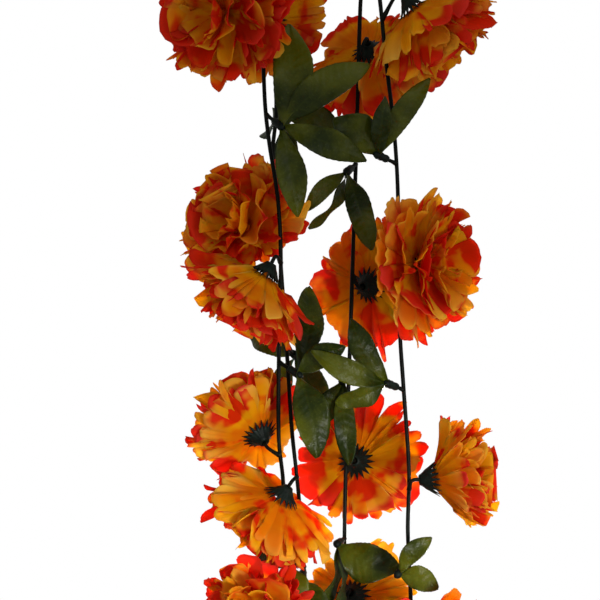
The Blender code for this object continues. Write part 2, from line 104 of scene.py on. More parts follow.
def capped(rings):
    """A closed shape from rings of points, bottom to top, with a flat face at each end."""
    sides = len(rings[0])
    points = np.concatenate(rings)
    faces = [tuple(face) for face in grid_faces(len(rings), sides, True)]
    faces.append(tuple(range(sides))[::-1])
    faces.append(tuple(range(len(points) - sides, len(points))))
    return points, faces


print("3 rings of 8 points, capped, make", len(grid_faces(3, 8, True)) + 2, "faces")


# %% [markdown]
# Cups, blooms and ferrules are all made about an axis, as on a lathe.

# %% Turning about an axis
def side_frame(axis):
    """Two unit directions across an axis, the same two as the solids are turned about."""
    axis = np.asarray(axis, float)
    level = np.array((0, 0, 1.0)) if abs(axis[2]) < 0.9 else np.array((0, 1.0, 0))
    across = unit(np.cross(axis, level))
    return across, unit(np.cross(axis, across))


def placer(origin, axis):
    """A function that turns (turn, radius, height) about an axis into points."""
    across, over = side_frame(axis)

    def place(turn, radius, height):
        turn, radius, height = np.broadcast_arrays(turn, radius, height)
        angle = (math.tau * turn)[..., None]
        spoke = across * np.cos(angle) + over * np.sin(angle)
        return origin + axis * height[..., None] + spoke * radius[..., None]

    return place


def turned(origin, axis, profile, sides):
    """A closed turned shape along an axis, from its (radius, height) profile, bottom to top."""
    place = placer(origin, axis)
    turns = np.arange(sides) / sides
    return capped([place(turns, radius, height) for radius, height in profile])


print("across an axis that points up:", *(way.round(2) for way in side_frame((0, 0, 1))))


# %% [markdown]
# Petals and leaves are thin sheets: a grid of points and the same grid behind it, so that they have
# a real thickness and no loose faces. The cloth of a bloom closes round and has two edges, and a
# leaf has one edge that runs round its four sides.

# %% Thin sheets
def thin_sheet(front, thick, ring=False):
    """A closed sheet behind a grid of points; in a ring the last column meets the first."""
    rows, columns = front.shape[:2]
    count = rows * columns
    number = np.arange(count).reshape(rows, columns)
    if ring:
        around = np.concatenate([front[:, -1:], front, front[:, :1]], axis=1)
        across = (around[:, 2:] - around[:, :-2]) / 2
        edges = [(np.roll(number[0], -1), number[0]), (number[-1], np.roll(number[-1], -1))]
    else:
        across = np.gradient(front, axis=1)
        sides = number[0, :-1], number[:-1, -1], number[-1, :0:-1], number[:0:-1, 0]
        loop = np.concatenate(sides)
        edges = [(np.roll(loop, -1), loop)]
    normal = unit(np.cross(across, np.gradient(front, axis=0)))
    points = np.concatenate([front.reshape(-1, 3), (front - normal * thick).reshape(-1, 3)])
    face = grid_faces(rows, columns, ring)
    faces = [face, face[:, ::-1] + count]
    faces += [np.stack([a, b, b + count, a + count], -1) for a, b in edges]
    return points, np.concatenate(faces)


print("a sheet of 3 by 4 points has", len(thin_sheet(np.zeros((3, 4, 3)), 1.0)[1]), "faces")


# %% [markdown]
# Each finished shape becomes one object that rides on the garland and stands for one of its solids.
# Values kept per point, such as a place on the cloth, go with it for its finish to read.

# %% From a shape to a piece
def new_piece(name, shape, materials, replaced):
    """An object of that shape; a shape is points and faces, and may have values per point."""
    points, faces = shape[:2]
    mesh = bpy.data.meshes.new(name)
    mesh.from_pydata((points * MM).tolist(), [], faces)
    for key, values in (shape[2] if len(shape) > 2 else {}).items():
        if key == "material":
            numbers = [int(values[face[0]]) for face in faces]
            mesh.polygons.foreach_set("material_index", numbers)
        elif values.ndim == 2:
            layer = mesh.attributes.new(key, "FLOAT_VECTOR", "POINT")
            layer.data.foreach_set("vector", values.astype(np.float32).ravel())
        else:
            layer = mesh.attributes.new(key, "FLOAT", "POINT")
            layer.data.foreach_set("value", values.astype(np.float32))
    for material in materials:
        mesh.materials.append(material)
    mesh.shade_smooth()
    piece = bpy.data.objects.new(name, mesh)
    bpy.context.scene.collection.objects.link(piece)
    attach(piece, "root")
    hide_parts(replaced)
    return piece


# %% [markdown]
# ## Finishes
# A finish starts from what the real surface is made of. Colours are written as they look on a
# screen and turned into the light that Blender counts in.

# %% Helpers for finishes
def colour(code):
    """Linear red, green, blue and alpha from a screen colour."""
    parts = [int(code[k : k + 2], 16) / 255 for k in (0, 2, 4)]
    parts = [c / 12.92 if c <= 0.04045 else ((c + 0.055) / 1.055) ** 2.4 for c in parts]
    return (*parts, 1.0)


def add(tree, kind, inputs=None, **settings):
    """Adds a node. inputs maps a socket to a value, or to the output that feeds it."""
    node = tree.nodes.new("ShaderNode" + kind)
    for name, value in settings.items():
        setattr(node, name, value)
    for socket, value in (inputs or {}).items():
        if isinstance(value, bpy.types.NodeSocket):
            tree.links.new(value, node.inputs[socket])
        else:
            node.inputs[socket].default_value = value
    return node


def new_finish(name):
    """An empty material and its node tree."""
    material = bpy.data.materials.new(name)
    material.use_nodes = True
    material.node_tree.nodes.clear()
    return material, material.node_tree


print("a middle grey, 808080, is", round(colour("808080")[0], 3), "in light")


# %% [markdown]
# Every finish here is a few noises, ramps and blends, and ends in the same few nodes: bumps on the
# skin, a surface and, for cloth, the light that comes through it.

# %% What the finishes have in common
def per_point(tree, name, kind="Fac"):
    """A value that the mesh keeps per point."""
    return add(tree, "Attribute", attribute_name=name).outputs[kind]


def noise(tree, place, scale, detail):
    """A noise around 0.5, read at a place."""
    return add(tree, "TexNoise", {"Vector": place, "Scale": scale, "Detail": detail}).outputs[0]


def ramp(tree, value, start, end, low=0.0, high=1.0):
    """low up to start, high from end on, and a smooth rise or fall between."""
    inputs = {0: value, 1: start, 2: end, 3: low, 4: high}
    return add(tree, "MapRange", inputs, interpolation_type="SMOOTHSTEP").outputs[0]


def compute(tree, operation, *values):
    """Arithmetic on values; MULTIPLY_ADD is the first times the second, plus the third."""
    return add(tree, "Math", dict(enumerate(values)), operation=operation).outputs[0]


def blend(tree, share, first, second):
    """Goes from the first colour to the second; either may be a screen colour."""
    first, second = (colour(c) if isinstance(c, str) else c for c in (first, second))
    return add(tree, "Mix", {0: share, 6: first, 7: second}, data_type="RGBA").outputs[2]


def surface(tree, tint, height, bumps, look, glow=0.0):
    """The end of a finish. bumps: their strength and depth in mm. glow: the light let through."""
    bump = {"Height": height, "Strength": bumps[0], "Distance": bumps[1] * MM}
    look = look | {"Base Color": tint, "Normal": add(tree, "Bump", bump).outputs[0]}
    last = add(tree, "BsdfPrincipled", look)
    if glow:
        through = add(tree, "BsdfTranslucent", {"Color": tint})
        last = add(tree, "MixShader", {0: glow, 1: last.outputs[0], 2: through.outputs[0]})
    add(tree, "OutputMaterial", {"Surface": last.outputs[0]})


print("a quarter of the way up, a ramp has risen by", round(float(soft_step(0, 1, 0.25)), 2))


# %% [markdown]
# The vine, its pegs and the cups are injection-moulded polyethylene, coloured through in a green
# that is nearly black. Straight from the tool it has a soft, waxy shine, and a faint cloudiness
# where the melt cooled unevenly. A noise a few millimetres across mixes two dark greens for the
# cloud, and a finer one bumps the skin.

# %% Moulded polyethylene
def polyethylene(name, dark, light, roughness, cloud_mm, grain_mm):
    material, tree = new_finish(name)
    place = add(tree, "TexCoord").outputs["Object"]
    cloud = noise(tree, place, 1 / (cloud_mm * MM), 3.0)
    skin = blend(tree, ramp(tree, cloud, 0.35, 0.7), dark, light)
    grain = noise(tree, place, 1 / (grain_mm * MM), 2.0)
    look = {"Roughness": roughness, "IOR": 1.51, "Specular IOR Level": 0.1}
    surface(tree, skin, grain, (0.35, 0.2), look)
    return material


vine_polyethylene = polyethylene("vine_polyethylene", "030502", "080c06", 0.5, 9.0, 1.2)
cup_polyethylene = polyethylene("cup_polyethylene", "070d09", "141d17", 0.5, 4.0, 0.9)
print("moulded finishes:", vine_polyethylene.name, cup_polyethylene.name)


# %% [markdown]
# The petals are thin woven polyester, stiffened, printed with soft patches of red on orange and
# gold, and pressed hot into ruffles. Light comes through it, which a translucent shader mixed with
# a dull surface shows. The cloth carries its own measure, so that the print lies on it and not in
# space: "cloth" is a place on the disc in millimetres, moved along for each disc so that no two
# have the same patch, "rim" runs from 0 at the core to 1, "blush" says how red a lobe was dyed, and
# the last value says how much paler a lobe's tips and edge are painted: painted glow of light from
# behind shining through the cloth, and painted highlight.

# %% Printed polyester
PATCH_MM = 22.0
THREAD_MM = 1.3


def printed_polyester(name, gold, orange, red, painted_glow_yellow, painted_glow_pink):
    material, tree = new_finish(name)
    cloth = per_point(tree, "cloth", "Vector")
    rim, blush, thin = (per_point(tree, key) for key in ("rim", "blush", "thin"))
    # The ground wanders from orange, mostly at the core, to gold, mostly out at the rim.
    tint = noise(tree, cloth, 0.7 / PATCH_MM, 3.0)
    fall = compute(tree, "MULTIPLY_ADD", rim, -0.12, tint)
    ground = blend(tree, ramp(tree, fall, 0.33, 0.53), gold, orange)
    # Painted glow: toward the tips and edge the ground is painted paler, to a light yellow, as light
    # from behind would shine through, and as painted highlight.
    ground = blend(tree, thin, ground, painted_glow_yellow)
    # Red was dabbed on in patches with soft borders, more of it out at the rim.
    patch = noise(tree, cloth, 1 / PATCH_MM, 2.5)
    lean = compute(tree, "MULTIPLY_ADD", rim, 0.15, patch)
    red_on = ramp(tree, compute(tree, "ADD", lean, blush), 0.58, 0.70)
    # Painted glow: where the tips are painted paler, the red is painted paler too, to pink.
    red_and_painted_glow = blend(tree, compute(tree, "MULTIPLY", thin, 0.75), red, painted_glow_pink)
    print_and_painted_glow = blend(tree, red_on, ground, red_and_painted_glow)
    # The weave, about 0.3 mm, is drawn as threads of 1.3 mm so that it shows.
    weave = noise(tree, cloth, 1 / THREAD_MM, 2.0)
    look = {"Roughness": 0.85, "Specular IOR Level": 0.05}
    surface(tree, print_and_painted_glow, weave, (0.2, 0.3), look, glow=0.65)
    return material


# The light yellow and the pink, the last two, are painted glow and painted highlight, not dye.
PETAL_COLOURS = ("f6bc0c", "f09008", "ea3a06", "fad860", "f25a50")
petal_polyester = printed_polyester("petal_polyester", *PETAL_COLOURS)
print("petal finish:", petal_polyester.name)


# %% [markdown]
# The leaves are polyester cloth with a plastic coat on the upper side, dark olive, with a pressed
# midrib and side veins. The coat's satin shine is painted highlight: lighter flecks in the colour.
# The underside is bluer and dull. "cloth" is millimetres across and along the leaf, "under" is 1
# on the underside.

# %% Coated polyester
VEIN_MM = 5.0
# The size of the flecks of painted highlight.
PAINTED_GLINT_MM = 1.6
CLOUD_MM = 40.0


def coated_polyester(name, dark, light, painted_glint, vein, underside):
    material, tree = new_finish(name)
    cloth, under = per_point(tree, "cloth", "Vector"), per_point(tree, "under")
    tone = noise(tree, cloth, 1 / CLOUD_MM, 3.0)
    ground = blend(tree, ramp(tree, tone, 0.38, 0.62), dark, light)
    # Painted highlight: lighter flecks stand for the coat's speckled satin glints, more of them
    # where the broad tone is light.
    fine = noise(tree, cloth, 1 / PAINTED_GLINT_MM, 2.0)
    glint_spread = compute(tree, "MULTIPLY_ADD", tone, 0.5, fine)
    top = blend(tree, ramp(tree, glint_spread, 0.76, 1.0, high=0.3), ground, painted_glint)
    # The midrib, and side veins that run out and forward: stripes of the distance along the leaf
    # less a share of that across it.
    parts = add(tree, "SeparateXYZ", {0: cloth}).outputs
    away = compute(tree, "ABSOLUTE", parts[0])
    rib = ramp(tree, away, 0.3, 0.9, low=0.12, high=0.0)
    slant = compute(tree, "MULTIPLY_ADD", away, -0.6, parts[1])
    wave = compute(tree, "COSINE", compute(tree, "MULTIPLY", slant, math.tau / VEIN_MM))
    side = ramp(tree, wave, 0.8, 1.0, high=0.08)
    veined = blend(tree, compute(tree, "MAXIMUM", rib, side), top, vein)
    both = blend(tree, under, veined, underside)
    relief = compute(tree, "MULTIPLY_ADD", wave, 0.25, fine)
    look = {"Roughness": 0.38, "Specular IOR Level": 0.18}
    surface(tree, both, relief, (0.6, 0.6), look, glow=0.2)
    return material


# The third colour is painted highlight: the light flecks of the coat's satin shine.
LEAF_COLOURS = ("1f2a02", "525606", "5a6422", "48520c", "2b4a38")
leaf_polyester = coated_polyester("leaf_polyester", *LEAF_COLOURS)
print("leaf finish:", leaf_polyester.name)


# %% [markdown]
# ## Where everything is
# These are the same named values that the solids were made from, in millimetres: how the vine
# runs, where each cup sits and which way its bloom faces, and where each spray of leaves grows.

# %% The design's own measures
SEAT_GAP = 0.3
RAIL_D = 25.0
STEM_D = 2.9
BEND_R = RAIL_D / 2 + SEAT_GAP + STEM_D / 2
BEND_TURNS = tuple(step / 8 for step in range(9))
FOLD_Z = -488.0
# A bloom's peg bends this far behind its cup, and ends a little inside it.
PEG_ELBOW, PEG_IN_SOCKET = 9.0, -1.5
BLOOM_CENTRE = 18.0

# The runs of the vine, each from top to bottom.
ROUTE = {
    "a": (
        (-43, -17, -40), (-42, -19, -62), (-40.3, -20, -118), (-37.8, -20, -143),
        (-32.2, -20, -180), (-30.4, -20, -217), (-31.6, -18, -274), (-31.6, -17, -328),
        (-29.1, -8, -353), (-28.4, 7, -385), (-28, 9, -410), (-28.4, 2, -445), (-29, -2, -492),
    ),
    "b": (
        (-36, 17, -40), (-34.7, 19, -74), (-33.5, 20, -124), (-35.7, 20, -152), (-31.6, 18, -205),
        (-26.4, -6, -279), (-23.6, -14, -322), (-20.5, -16, -351), (-18.6, -2, -372),
        (-17, 14, -395), (-14.9, 20, -428), (-13.6, 20, -470),
    ),
    "c": (
        (21, 17, -40), (19.2, 19, -56), (16.7, 20, -143), (13.6, 20, -242), (9.9, 20, -353),
        (9, 20, -415), (9.4, 20, -470),
    ),
    "d": (
        (28, -17, -40), (30.4, -19, -56), (34.1, -20, -93), (39.1, -20, -136), (41.5, -20, -174),
        (42.8, -20, -260), (45, -20, -295), (48.4, -20, -347), (47.7, -20, -384), (49.6, -20, -428),
        (51, -20, -494),
    ),
}
# Blooms: run, height of the peg's root, place of the cup, the way the bloom faces, how wide and
# how deep it is against the shape in DISCS, and how far it is still closed.
BLOOMS = {
    "a1": ("a", -72, (-58, -27, -63), (-0.50, -0.82, -0.20), (1.20, 0.95, 0.00)),
    "a2": ("a", -218, (-38, -32, -223), (-0.49, 0, -0.87), (1.14, 1.12, 0.50)),
    "a3": ("a", -338, (-42.2, -9, -327), (-0.42, 0.62, 0.66), (1.10, 1.00, 0.00)),
    "a4": ("a", -448, (-41, -12, -438), (-0.40, -0.91, 0.10), (0.94, 1.00, 0.00)),
    "b1": ("b", -78, (-38, 31, -66), (-0.05, 0.99, 0.10), (1.00, 1.00, 0.00)),
    "b2": ("b", -206, (-46, 12, -199), (-0.52, -0.82, 0.22), (1.14, 0.95, 0.00)),
    "b3": ("b", -351, (-28, -23, -360), (-0.52, 0.28, -0.81), (1.16, 1.00, 0.20)),
    "b4": ("b", -462, (-22, 30, -468), (-0.45, 0.75, -0.50), (0.95, 1.00, 0.00)),
    "c1": ("c", -90, (24.8, 31, -84), (0.20, 0.72, -0.66), (1.15, 1.00, 0.00)),
    "c2": ("c", -227, (23, 30, -233), (0.52, 0.84, 0.12), (1.12, 1.00, 0.00)),
    "c3": ("c", -346, (16.1, 31, -343), (0.15, 0.97, -0.10), (1.00, 1.00, 0.00)),
    "c4": ("c", -434, (14, 31, -427), (0.25, 0.92, -0.30), (0.84, 1.00, 0.00)),
    "d1": ("d", -70, (48.5, -22, -59), (0.66, 0.12, -0.74), (1.18, 1.25, 0.30)),
    "d2": ("d", -222, (47, -29, -220), (0.68, -0.73, 0.04), (1.16, 0.98, 0.00)),
    "d3": ("d", -358, (59, -22, -352), (0.96, 0.16, 0.08), (0.90, 1.12, 1.00)),
    "d4": ("d", -450, (57, -27, -446), (0.35, -0.75, -0.56), (1.00, 1.00, 0.30)),
}

# Leaf sprays: run, height of the peg's root, place of the hub, then each leaf's tip and width.
SPRAYS = {
    "a1": ("a", -128, (-32, -28, -134), (
        ((-25, -32, -73), 24), ((24, -34, -98), 21), ((22, -38, -157), 18),
        ((-20, -36, -191), 18))),
    "a2": ("a", -280, (-22, -24, -286), (
        ((-14, 4, -234), 18), ((9, -34, -270), 15), ((-8, -38, -338), 22))),
    "a3": ("a", -400, (-24, 0, -405), (
        ((-44, 10, -395), 15), ((-26, -30, -436), 18))),
    "a4": ("a", -484, (-34, -8, -488), (
        ((-76, -14, -505), 20), ((-52, -18, -535), 20), ((-22, -22, -540), 18))),
    "b1": ("b", -122, (-28, 28, -127), (
        ((-36, 78, -132), 20), ((6, 34, -136), 18), ((-30, 44, -176), 18))),
    "b2": ("b", -272, (-22, 12, -276), (
        ((-50, 32, -266), 18), ((-8, 40, -306), 18), ((-30, 36, -312), 16))),
    "b3": ("b", -408, (-17, 8, -413), (
        ((4, -12, -440), 16), ((-22, 34, -440), 16))),
    "c1": ("c", -156, (11.8, 10, -161), (
        ((-15.5, 0, -187), 11), ((-14, 8, -197), 12), ((26, -2, -211), 16))),
    "c2": ("c", -286, (8.7, 10, -291), (
        ((11.8, -4, -344), 14), ((-20, 4, -322), 16))),
    "c3": ("c", -390, (5.6, 10, -393), (
        ((43, -2, -408), 25), ((-6, -6, -432), 12), ((4, -2, -438), 11))),
    "d1": ("d", -158, (31.6, -25, -154), (
        ((2, -30, -131), 22), ((61, -30, -106), 14), ((33, -36, -118), 12))),
    "d2": ("d", -297, (37.6, -25, -294), (
        ((12.4, -30, -253), 16), ((-12, -34, -273), 15), ((3, -30, -305), 15))),
    "d3": ("d", -403, (43, -27, -408), (
        ((62, -32, -387), 12), ((66, -34, -418), 15))),
    "d4": ("d", -486, (58, -23, -492), (
        ((92, -28, -512), 20), ((62, -34, -542), 20), ((34, -22, -536), 18))),
    "fold": ("fold", FOLD_Z, (-2, 22, -511), (
        ((-34, 30, -534), 18), ((-4, 36, -562), 20), ((32, 26, -532), 18))),
    "left_bend": ("left_bend", 0, (-39.5, 0, 13), (
        ((-82, -16, 30), 20), ((-44, 10, 62), 22), ((-6, -18, 36), 18))),
    "right_bend": ("right_bend", 0, (24.5, 0, 13), (
        ((66, -14, 32), 20), ((30, 12, 60), 22), ((-2, 20, 44), 18))),
}
print(len(ROUTE), "runs carry", len(BLOOMS), "blooms and", len(SPRAYS), "sprays of leaves")


# %% [markdown]
# A vine follows a smooth line, and a curve that goes through its corners suits it, because the
# corners are then real places on it. The bends over the rail and the fold are half circles.

# %% Smooth lines and half circles
def arc(centre, start, end):
    """A half circle whose arms from the centre are a quarter turn apart."""
    turn = math.pi * np.array(BEND_TURNS)[:, None]
    return centre + np.array(start) * np.cos(turn) + np.array(end) * np.sin(turn)


def rail_bend(first, last):
    """The corners of a bend over the rail, which drifts sideways from first to last."""
    points = arc(np.array((0, 0, -RAIL_D / 2)), (0, -BEND_R, 0), (0, 0, BEND_R))
    points[:, 0] = first + (last - first) * np.array(BEND_TURNS)
    return points


def smooth_route(corners, spacing=2.0):
    """A Catmull-Rom curve through the corners, as a close row of points."""
    route = []
    for i in range(len(corners) - 1):
        before, start = corners[max(i - 1, 0)], corners[i]
        end, after = corners[i + 1], corners[min(i + 2, len(corners) - 1)]
        length = np.linalg.norm(end - start)
        lean_1 = (end - before) * length / (np.linalg.norm(start - before) + length)
        lean_2 = (after - start) * length / (np.linalg.norm(after - end) + length)
        steps = max(2, round(length / spacing))
        for t in np.arange(steps) / steps:
            route.append(
                start * (2 * t**3 - 3 * t**2 + 1)
                + lean_1 * (t**3 - 2 * t**2 + t)
                + end * (3 * t**2 - 2 * t**3)
                + lean_2 * (t**3 - t**2)
            )
    route.append(corners[-1])
    return np.array(route)


print("a bend over the rail goes round at", BEND_R, "mm")


# %% [markdown]
# One line runs up run a, over the rail and down b, round the fold and up c, over the rail again and
# down d. Each part of it, or leg, is kept too, for the pegs that grow on it.

# %% The vine's middle line
runs = {name: np.array(corners) for name, corners in ROUTE.items()}
foot_b, foot_c = runs["b"][-1], runs["c"][-1]
half = (foot_c[0] - foot_b[0]) / 2
middle = np.array((foot_b[0] + half, foot_b[1], FOLD_Z))
corners = {
    "a": runs["a"][::-1],
    "left_bend": rail_bend(runs["a"][0][0], runs["b"][0][0]),
    "b": runs["b"],
    "fold": arc(middle, (-half, 0, 0), (0, 0, -half)),
    "c": runs["c"][::-1],
    "right_bend": rail_bend(runs["d"][0][0], runs["c"][0][0])[::-1],
    "d": runs["d"],
}
every = np.concatenate(list(corners.values()))
owners = np.repeat(list(corners), [len(points) for points in corners.values()])
route = smooth_route(every)
nearest = np.linalg.norm(route[:, None] - every[None], axis=2).argmin(1)
legs = {name: route[owners[nearest] == name] for name in corners}
print("the vine is", round(np.linalg.norm(np.diff(route, axis=0), axis=1).sum()), "mm long")


def root_on(leg, height):
    """The point of the vine where a peg grows."""
    heights = legs[leg][:, 2]
    if leg == "fold":
        return legs[leg][heights.argmin()]
    if leg.endswith("bend"):
        return legs[leg][heights.argmax()]
    return legs[leg][np.abs(heights - height).argmin()]


# %% [markdown]
# ## Camera, light and floor
# The garland hangs against white, seen square on from far enough away that the runs stay straight.
# The view takes in the middle of it, so the runs leave the picture above and below.

# %% Camera
VIEW_CENTRE = Vector((-18.6, 0.0, -241.8)) * MM
VIEW_SIDE = 0.372
VIEW_FROM = 2.4
SENSOR = 0.036

camera_data = bpy.data.cameras.new("camera")
camera_data.sensor_width = SENSOR / MM
camera_data.lens = SENSOR / MM * VIEW_FROM / VIEW_SIDE
camera_data.clip_end = 20
camera = bpy.data.objects.new("camera", camera_data)
camera.location = VIEW_CENTRE + Vector((0, -VIEW_FROM, 0))
camera.rotation_euler = (math.pi / 2, 0, 0)
bpy.context.scene.collection.objects.link(camera)
bpy.context.scene.camera = camera
bpy.context.scene.view_settings.view_transform = "Standard"
print("camera", VIEW_FROM, "m away, over", VIEW_SIDE, "m")


# %% [markdown]
# The light is a plain soft studio: light walls all round, a key above on the right, and a low lamp
# and a window behind that lift the bottom. The floor is a pale sheet below the lowest leaf.

# %% Light and floor
def soft_light(name, place, aim, size, watts, spread=180):
    """A square lamp; a smaller spread, in degrees, keeps its light near where it aims."""
    data = bpy.data.lights.new(name, "AREA")
    data.size = size
    data.energy = watts
    data.spread = math.radians(spread)
    light = bpy.data.objects.new(name, data)
    light.location = place
    light.rotation_euler = (Vector(aim) - Vector(place)).to_track_quat("-Z", "Y").to_euler()
    bpy.context.scene.collection.objects.link(light)


soft_light("key", (0.7, -1.2, 0.4), (0, 0, -0.12), 0.7, 2.3)
soft_light("low", (0.5, -1.0, -0.60), (0, 0, -0.50), 0.3, 0.85, 28)
# From behind, so that the lowest cloth glows.
soft_light("window", (0.1, 0.8, -0.60), (0, 0, -0.49), 0.4, 2.0, 34)

world = bpy.data.worlds.new("studio")
world.use_nodes = True
bpy.context.scene.world = world
tree = world.node_tree
tree.nodes.clear()
# The walls look white, and light the garland less than a white room would.
seen = add(tree, "LightPath").outputs["Is Camera Ray"]
walls = add(tree, "Background", {"Color": (1, 1, 1, 1), "Strength": 0.50})
white = add(tree, "Background", {"Color": (1, 1, 1, 1), "Strength": 1.0})
mixed = add(tree, "MixShader", {0: seen, 1: walls.outputs[0], 2: white.outputs[0]})
add(tree, "OutputWorld", {"Surface": mixed.outputs[0]})

FLOOR_Z = -0.60
bpy.ops.mesh.primitive_plane_add(size=3, location=(0, 0, FLOOR_Z))
floor = bpy.context.object
floor.name = "floor"
paper, tree = new_finish("floor_paper")
shader = add(tree, "BsdfPrincipled", {"Base Color": colour("e9e9e7"), "Roughness": 0.9})
add(tree, "OutputMaterial", {"Surface": shader.outputs[0]})
floor.data.materials.append(paper)
print("lamps:", [lamp.name for lamp in bpy.data.lights])


# %% [markdown]
# ## The vine
# A tube is swept along the middle line. The real moulding is never quite round or even, so the
# radius wanders a little, and it stays just inside the solid's.

# %% The vine's stem
VINE_SIDES, VINE_STEP = 12, 2
VINE_FIT, VINE_WANDER = 0.88, 0.06
WANDER_SPAN = 9


def tube(path, radii, sides):
    """A closed tube whose rings don't twist."""
    ahead = unit(np.gradient(path, axis=0))
    normal = side_frame(ahead[0])[0]
    angle = math.tau * np.arange(sides)[:, None] / sides
    rings = []
    for i, forward in enumerate(ahead):
        normal = unit(normal - forward * (forward @ normal))
        over = np.cross(forward, normal)
        rings.append(path[i] + (normal * np.cos(angle) + over * np.sin(angle)) * radii[i])
    return capped(rings)


draw = np.random.default_rng(11)
path = route[::VINE_STEP]
wander = draw.normal(0, 1, len(path) + WANDER_SPAN - 1)
wander = np.convolve(wander, np.ones(WANDER_SPAN) / WANDER_SPAN, "valid")
vine_shape = tube(path, STEM_D / 2 * (VINE_FIT + VINE_WANDER * wander), VINE_SIDES)
vine = new_piece("vine_stem", vine_shape, [vine_polyethylene], "vine")
print("the stem has", len(path), "rings of", VINE_SIDES, "points")


# %% [markdown]
# Its pegs are smaller tubes that lean out of it and flare at the root, one for each cup and each
# spray of leaves. On the way the loop notes which way every bloom and spray faces.

# %% The side pegs
PEG_SIDES, PEG_SPACING = 10, 1.2
PEG_R, PEG_FLARE, PEG_UNEVEN = 1.20, 0.45, 0.05
FLARE_END = 0.35


def peg(corners):
    """A side peg on a smooth line through its corners, wide where it grows from the vine."""
    path = smooth_route(np.array(corners), PEG_SPACING)
    gone = np.linalg.norm(np.diff(path, axis=0), axis=1).cumsum()
    share = np.concatenate([[0], gone]) / gone[-1]
    flare = PEG_FLARE * (1 - soft_step(0, FLARE_END, share))
    return tube(path, PEG_R + flare + PEG_UNEVEN * np.sin(9 * share), PEG_SIDES)


pegs, facings, centres = [], {}, {}
for name, (leg, height, cup, facing, _) in BLOOMS.items():
    cup, axis = np.array(cup), unit(facing)
    facings[name], centres[name] = axis, cup + axis * BLOOM_CENTRE
    pegs.append(peg([root_on(leg, height), cup - axis * PEG_ELBOW, cup + axis * PEG_IN_SOCKET]))
for name, (leg, height, hub, _) in SPRAYS.items():
    hub, root = np.array(hub), root_on(leg, height)
    facings["spray_" + name] = unit(hub - root)
    pegs.append(peg([root, hub - unit(hub - root) * SEAT_GAP]))
print("there are", len(pegs), "pegs")


# %% [markdown]
# Stem and pegs come out of one mould, so a Boolean union makes one skin of them. The pegs wait in a
# collection of their own, which the union takes whole.

# %% One moulding
group = bpy.data.collections.new("pegs")
bpy.context.scene.collection.children.link(group)
for points, faces in pegs:
    mesh = bpy.data.meshes.new("peg")
    mesh.from_pydata((points * MM).tolist(), [], faces)
    mesh.materials.append(vine_polyethylene)
    group.objects.link(bpy.data.objects.new("peg", mesh))
union = vine.modifiers.new("union", "BOOLEAN")
union.operand_type = "COLLECTION"
union.solver = "MANIFOLD"
union.operation = "UNION"
union.collection = group
graph = bpy.context.evaluated_depsgraph_get()
moulding = bpy.data.meshes.new_from_object(vine.evaluated_get(graph))
vine.modifiers.clear()
vine.data = moulding
moulding.shade_smooth()
for loose_peg in list(group.objects):
    bpy.data.objects.remove(loose_peg, do_unlink=True)
bpy.data.collections.remove(group)
print("the moulded vine has", len(moulding.polygons), "faces")


# %% [markdown]
# ## The cups
# Each bloom sits in a toothed cup like a marigold's green one: a socket for the peg, a ribbed
# belly, and a star of pointed sepals that lies against the cloth. On a bloom that is still closed
# the sepals stand up along it. One turned grid of points does all of it, since its rings may run
# out into teeth.

# %% The cups
SEPALS = 17
STEPS = 6
CUP_TURNS = np.arange(SEPALS * STEPS) / (SEPALS * STEPS)
# Radius and height of each ring: the socket from its end out to its mouth, then the belly.
SOCKET = ((0.9, -1.2), (2.1, -1.2), (2.1, -4.5))
BELLY = ((2.2, -4.5), (3.2, -4.3), (3.7, -3.3), (4.7, -1.9), (5.8, -0.8), (6.5, 0.2))
RIB = 0.10
# Rings through the sepals: their tips, the roots between them, and their share of the closing.
SEPAL_RINGS = (
    ((8.8, 1.9), (6.9, 0.7), 0.5), ((12.2, 4.1), (7.2, 1.3), 1.0),
    ((12.1, 4.4), (7.0, 1.7), 1.0), ((8.6, 2.7), (6.7, 1.6), 0.5),
)
CUP_FLOOR = ((6.2, 1.2), (3.2, 0.4))
# How far the tips of a closed bloom's sepals stand up and lean in.
SEPAL_RISE, SEPAL_LEAN = 3.4, 0.8


def cup_shape(origin, axis, closed):
    """closed: how far the bloom is still shut, so that the sepals stand up along it."""
    place = placer(origin, axis)
    rib = RIB * np.cos(math.tau * SEPALS * CUP_TURNS)
    point = np.abs((CUP_TURNS * SEPALS % 1) * 2 - 1) ** 1.4
    rings = [place(CUP_TURNS, radius, height) for radius, height in SOCKET]
    for i, (radius, height) in enumerate(BELLY):
        rings.append(place(CUP_TURNS, radius + rib * soft_step(0, 4, i), height))
    for tip, root, share in SEPAL_RINGS:
        tip = tip[0] - SEPAL_LEAN * closed * share, tip[1] + SEPAL_RISE * closed * share
        radius, height = (low + (high - low) * point for low, high in zip(root, tip))
        rings.append(place(CUP_TURNS, radius, height))
    rings += [place(CUP_TURNS, radius, height) for radius, height in CUP_FLOOR]
    return capped(rings)


for name, (_, _, cup, _, size) in BLOOMS.items():
    shape = cup_shape(np.array(cup), facings[name], size[2])
    new_piece("calyx_" + name, shape, [cup_polyethylene], "cup_" + name)
print(len(BLOOMS), "cups with", SEPALS, "sepals each")


# %% [markdown]
# ## The blooms
# A bloom is a stack of die-cut cloth discs, threaded on a post and pressed hot. These numbers say
# how the discs leave the core, lean and end, as in the solids, and what is done to each: lobes cut
# into its rim, folds pressed into it, how high they stand and how deep the slits between the lobes
# go. The outer discs are cut fine, the inner ones are broad and smooth.

# %% The blooms' discs
DISCS = (
    ((5.2, 4.2), (22.0, 4.5), (39.0, 15.0)),
    ((4.7, 8.2), (20.0, 13.0), (34.0, 27.0)),
    ((2.9, 12.6), (15.0, 20.0), (25.0, 35.0)),
    ((1.2, 17.4), (9.0, 26.0), (14.0, 40.0)),
)
